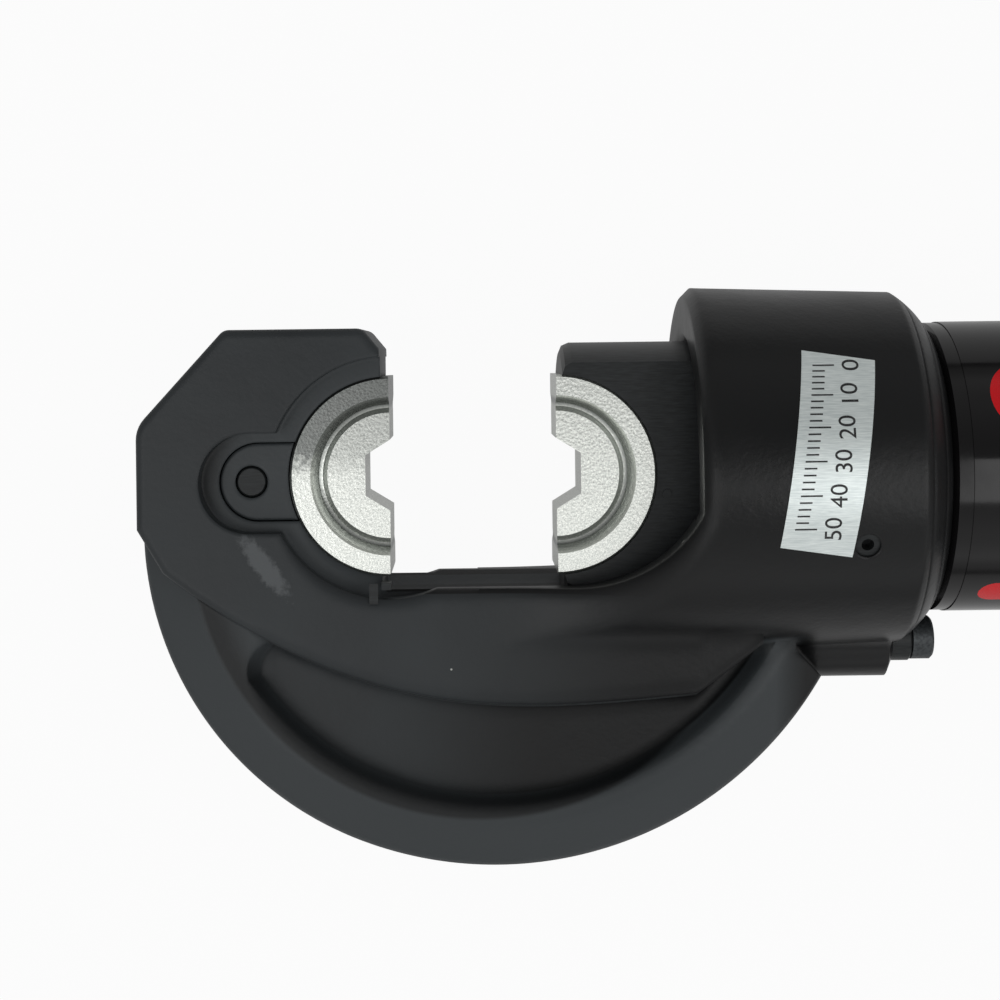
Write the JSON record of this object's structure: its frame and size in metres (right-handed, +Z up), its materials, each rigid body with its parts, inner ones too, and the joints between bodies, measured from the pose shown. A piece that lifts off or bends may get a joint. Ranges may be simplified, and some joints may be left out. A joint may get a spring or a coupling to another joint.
{
  "type": "hydraulic cable crimping tool",
  "caption": "Hand-pumped hydraulic crimping tool for cable lugs: a turning C-shaped head with half-round dies, a ram, a pump block and long handles.",
  "frame": {"origin": "on the tool's axis, in the middle of the fixed die's parting face", "axes": "+X along the tool's axis towards the handles, +Y out of the open side of the throat, +Z up from the side it lies on"},
  "size_m": [0.6564, 0.1455, 0.0934],
  "materials": {
    "black_forging": "satin black paint on a forged surface",
    "black_gloss": "gloss black",
    "zinc_plate": "zinc plated, grainy",
    "dark_steel": "blackened, satin",
    "bright_steel": "ground",
    "chrome_rod": "polished",
    "spring_steel": "drawn wire",
    "foil": "matt silver foil",
    "film": "glossy black film with a red bar",
    "block_metal": "black anodised",
    "brass_part": "turned",
    "seal_rubber": "matt",
    "wear_plastic": "matt",
    "grip_rubber": "ribbed, matt",
    "knob_plastic": "red, moulded",
    "cap_plastic": "moulded"
  },
  "bodies": {
    "tool_body": {"rod_wiper": "seal_rubber", "spring_anchor_bolt": "bright_steel", "return_spring": "spring_steel", "cylinder_body": "black_gloss", "cylinder_film": "film", "pump_block": "block_metal", "block_screws": "dark_steel", "plunger_seal": "seal_rubber", "gland_nut": "brass_part", "suction_spring": "spring_steel", "discharge_spring": "spring_steel", "valve_plugs": "dark_steel", "relief_spring": "spring_steel", "relief_screw": "brass_part", "reservoir_tube": "black_gloss", "reservoir_nut": "dark_steel", "oil_bladder": "seal_rubber", "fixed_grip": "grip_rubber", "end_cap": "cap_plastic", "filler_plug": "brass_part", "handle_pivot_pin": "bright_steel", "pivot_circlips": "spring_steel"},
    "head": {"head_frame": "black_forging", "collar_label": "foil", "die_stop_tabs": "dark_steel", "anvil_keeper_plate": "black_forging", "anvil_lock_plug": "dark_steel", "anvil_lock_spring": "spring_steel", "head_retaining_screws": "dark_steel", "plunger_bush": "dark_steel", "plunger_spring": "spring_steel"},
    "ram": {"ram_head": "dark_steel", "ram_cross_pin": "dark_steel", "piston": "chrome_rod", "piston_seal": "seal_rubber", "piston_wear_ring": "wear_plastic", "spring_front_pin": "bright_steel", "ram_detent_spring": "spring_steel"},
    "fixed_die": {"fixed_die": "zinc_plate"},
    "moving_die": {"moving_die": "zinc_plate"},
    "anvil_lock_button": {"anvil_lock_button": "dark_steel"},
    "anvil_lock_bolt": {"anvil_lock_bolt": "bright_steel"},
    "ram_detent_bolt": {"ram_detent_bolt": "bright_steel"},
    "head_lock_plunger": {"head_lock_plunger": "dark_steel"},
    "head_detent": {"detent_ball": "chrome_rod", "detent_pusher": "bright_steel"},
    "pump_handle": {"handle_fork": "black_gloss", "moving_handle_tube": "black_gloss", "moving_grip": "grip_rubber", "handle_end_plug": "cap_plastic"},
    "pump_plunger": {"pump_plunger": "chrome_rod", "plunger_pin": "bright_steel"},
    "release_knob": {"release_stem": "bright_steel", "release_knob": "knob_plastic"},
    "suction_ball": {"suction_ball": "chrome_rod"},
    "discharge_ball": {"discharge_ball": "chrome_rod"},
    "relief_poppet": {"relief_poppet": "bright_steel"}
  },
  "joints": [
    {"name": "head_swivel", "type": "hinge", "parent": "tool_body", "child": "head", "pos_m": [0.118, 0, 0], "axis": [1, 0, 0], "range_deg": [-180, 180]},
    {"name": "ram_travel", "type": "slide", "parent": "head", "child": "ram", "axis": [-1, 0, 0], "range_m": [0, 0.042], "stiffness_N_per_m": 400, "springref_m": -0.05, "deforming": ["return_spring"]},
    {"name": "fixed_die_out", "type": "slide", "parent": "head", "child": "fixed_die", "axis": [0, 0, 1], "range_m": [0, 0.036]},
    {"name": "moving_die_out", "type": "slide", "parent": "ram", "child": "moving_die", "axis": [0, 0, 1], "range_m": [0, 0.036]},
    {"name": "anvil_lock_press", "type": "slide", "parent": "head", "child": "anvil_lock_button", "axis": [0, 0, -1], "range_m": [0, 0.003], "stiffness_N_per_m": 600, "springref_m": -0.003, "deforming": ["anvil_lock_spring"]},
    {"name": "anvil_lock_draw", "type": "slide", "parent": "head", "child": "anvil_lock_bolt", "axis": [-1, 0, 0], "range_m": [0, 0.0018]},
    {"name": "ram_detent_draw", "type": "slide", "parent": "ram", "child": "ram_detent_bolt", "axis": [1, 0, 0], "range_m": [0, 0.0018], "stiffness_N_per_m": 1500, "springref_m": -0.002, "deforming": ["ram_detent_spring"]},
    {"name": "head_lock_pull", "type": "slide", "parent": "head", "child": "head_lock_plunger", "axis": [1, 0, 0], "range_m": [0, 0.0045], "stiffness_N_per_m": 1500, "springref_m": -0.003, "deforming": ["plunger_spring"]},
    {"name": "head_detent_lift", "type": "slide", "parent": "head", "child": "head_detent", "axis": [0, -1, 0], "range_m": [0, 0.0009]},
    {"name": "pump_handle_swing", "type": "hinge", "parent": "tool_body", "child": "pump_handle", "pos_m": [0.248, -0.062, 0], "axis": [0, 0, -1], "range_deg": [0, 50]},
    {"name": "pump_plunger_stroke", "type": "slide", "parent": "tool_body", "child": "pump_plunger", "axis": [0, -1, 0], "range_m": [0, 0.0196]},
    {"name": "release_turn", "type": "hinge", "parent": "tool_body", "child": "release_knob", "pos_m": [0.238, -0.014, 0.03], "axis": [0, 0, 1], "range_deg": [0, 90]},
    {"name": "suction_lift", "type": "slide", "parent": "tool_body", "child": "suction_ball", "axis": [0, 1, 0], "range_m": [0, 0.0012], "stiffness_N_per_m": 300, "springref_m": -0.002, "deforming": ["suction_spring"]},
    {"name": "discharge_lift", "type": "slide", "parent": "tool_body", "child": "discharge_ball", "axis": [0, 1, 0], "range_m": [0, 0.0012], "stiffness_N_per_m": 300, "springref_m": -0.002, "deforming": ["discharge_spring"]},
    {"name": "relief_lift", "type": "slide", "parent": "tool_body", "child": "relief_poppet", "axis": [0, 0, 1], "range_m": [0, 0.0012], "stiffness_N_per_m": 4000, "springref_m": -0.002, "deforming": ["relief_spring"]}
  ],
  "couplings": [
    {"joint": "anvil_lock_draw", "follows": "anvil_lock_press", "ratio": 0.6},
    {"joint": "head_detent_lift", "follows": "head_lock_pull", "ratio": 0.2},
    {"joint": "pump_plunger_stroke", "follows": "pump_handle_swing", "m_per_rad": 0.02244}
  ]
}
